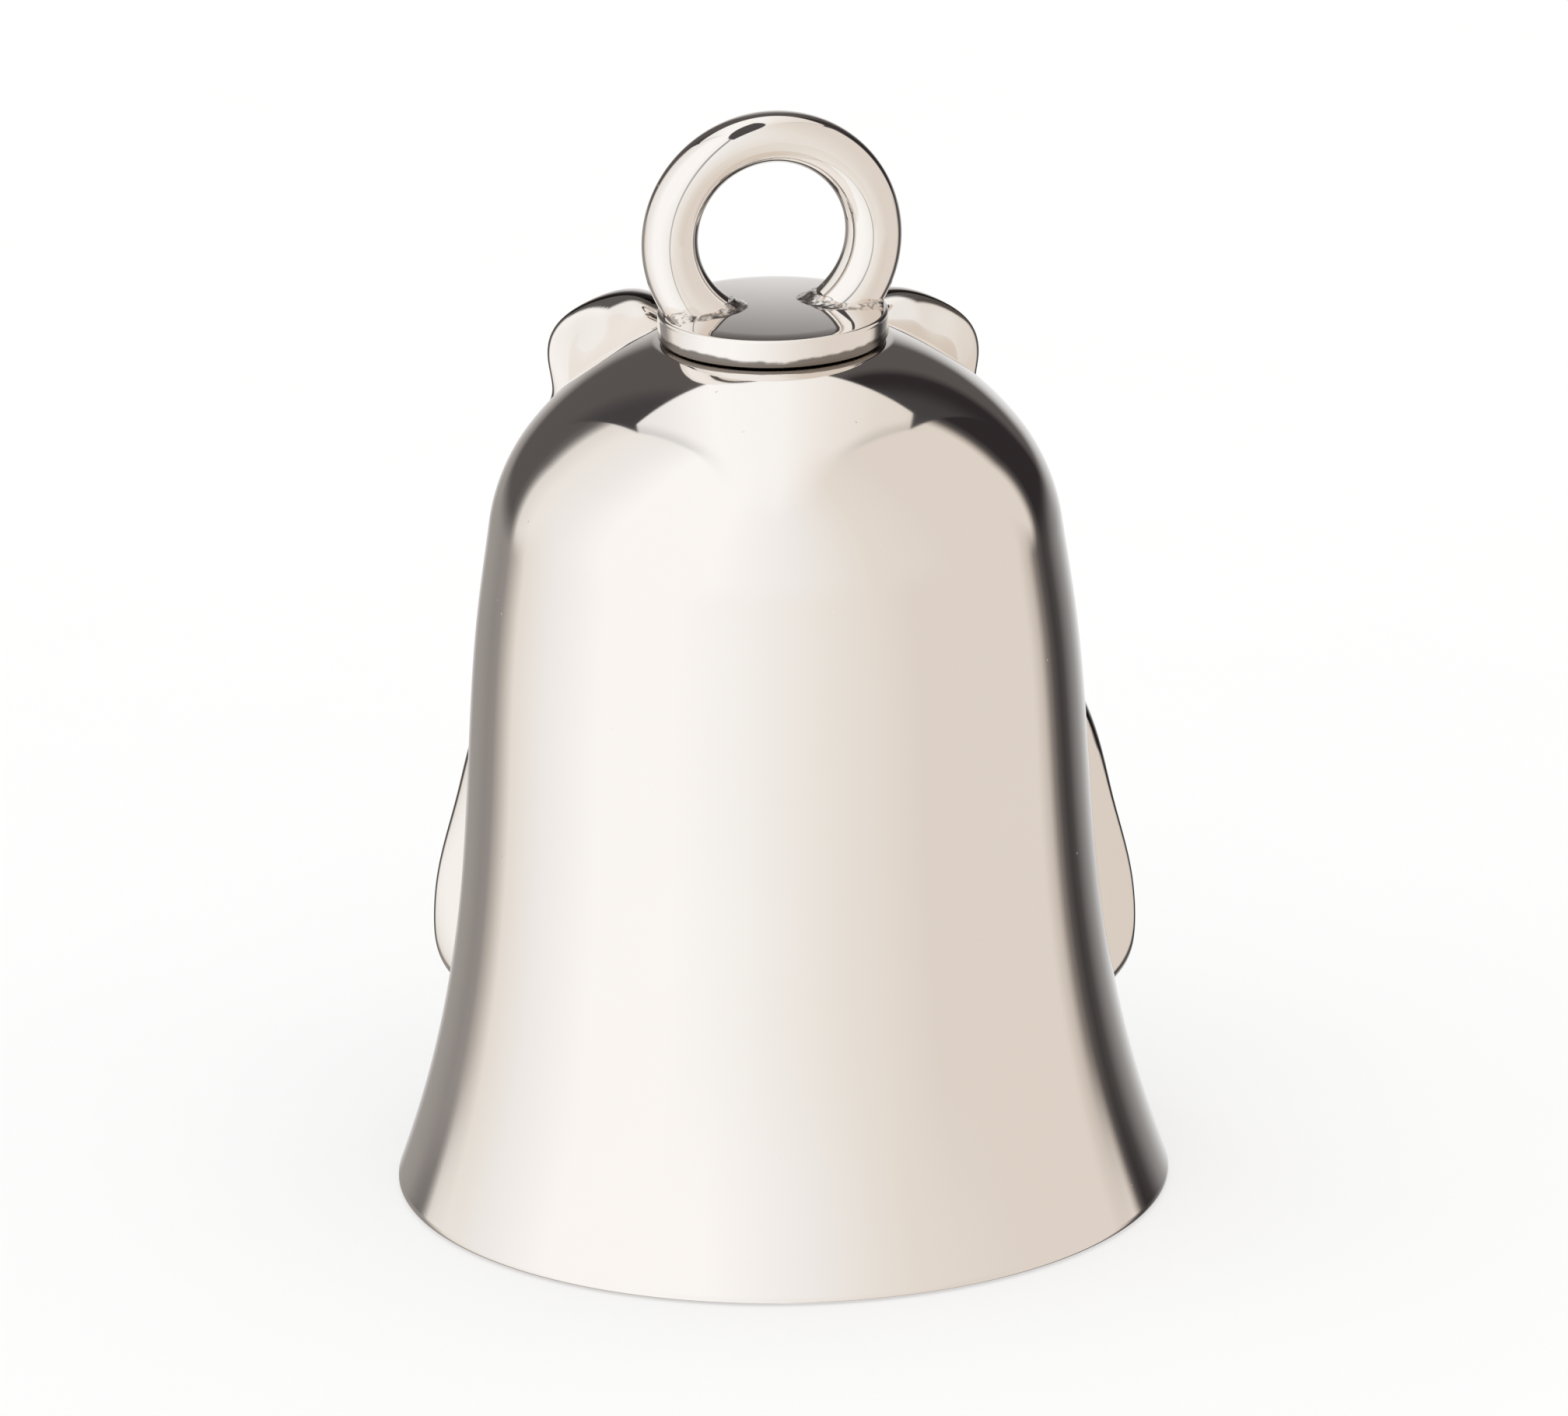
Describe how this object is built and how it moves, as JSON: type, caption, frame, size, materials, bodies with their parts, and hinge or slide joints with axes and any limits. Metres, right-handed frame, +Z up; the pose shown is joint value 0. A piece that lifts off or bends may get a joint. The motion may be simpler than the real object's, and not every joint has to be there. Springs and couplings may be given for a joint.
{
  "type": "hanging bell",
  "caption": "Small flared hanging bell of polished metal with a butterfly relief on its front, a swivelling loop on a collar, and a clapper on a link.",
  "frame": {"origin": "centre of the rim's flat bottom face, on the bell's axis", "axes": "+Z up along the bell's axis towards the loop; +Y towards the relief (the bell's front); +X to the right when the plain back is seen from -Y"},
  "size_m": [0.0262, 0.0262, 0.0373],
  "materials": {
    "polished_nickel": "mirror-polished nickel plate, slightly warm",
    "relief_nickel": "polished nickel plate, darker in its grooves",
    "solder_joint": "rough plated solder",
    "inner_hardware": "satin plated steel",
    "clapper_metal": "nickel-plated brass, struck bright where it hits the wall"
  },
  "bodies": {
    "bell": {"bell_shell": "polished_nickel", "front_relief": "relief_nickel"},
    "hanger": {"collar_stud": "polished_nickel", "hanger_loop": "polished_nickel", "loop_solder": "solder_joint", "stud_washer": "inner_hardware", "eye_nut": "inner_hardware"},
    "link": {"clapper_link": "inner_hardware"},
    "clapper": {"clapper_rod": "clapper_metal", "clapper_ball": "clapper_metal"}
  },
  "joints": [
    {"name": "hanger_swivel", "type": "hinge", "parent": "bell", "child": "hanger", "pos_m": [0, 0, 0.0288], "axis": [0, 0, 1], "continuous": true},
    {"name": "link_swing", "type": "hinge", "parent": "hanger", "child": "link", "pos_m": [0, 0, 0.02363], "axis": [1, 0, 0], "range_deg": [-21, 21]},
    {"name": "clapper_swing", "type": "hinge", "parent": "link", "child": "clapper", "pos_m": [0, 0, 0.02126], "axis": [0, 1, 0], "range_deg": [-8, 8]}
  ]
}
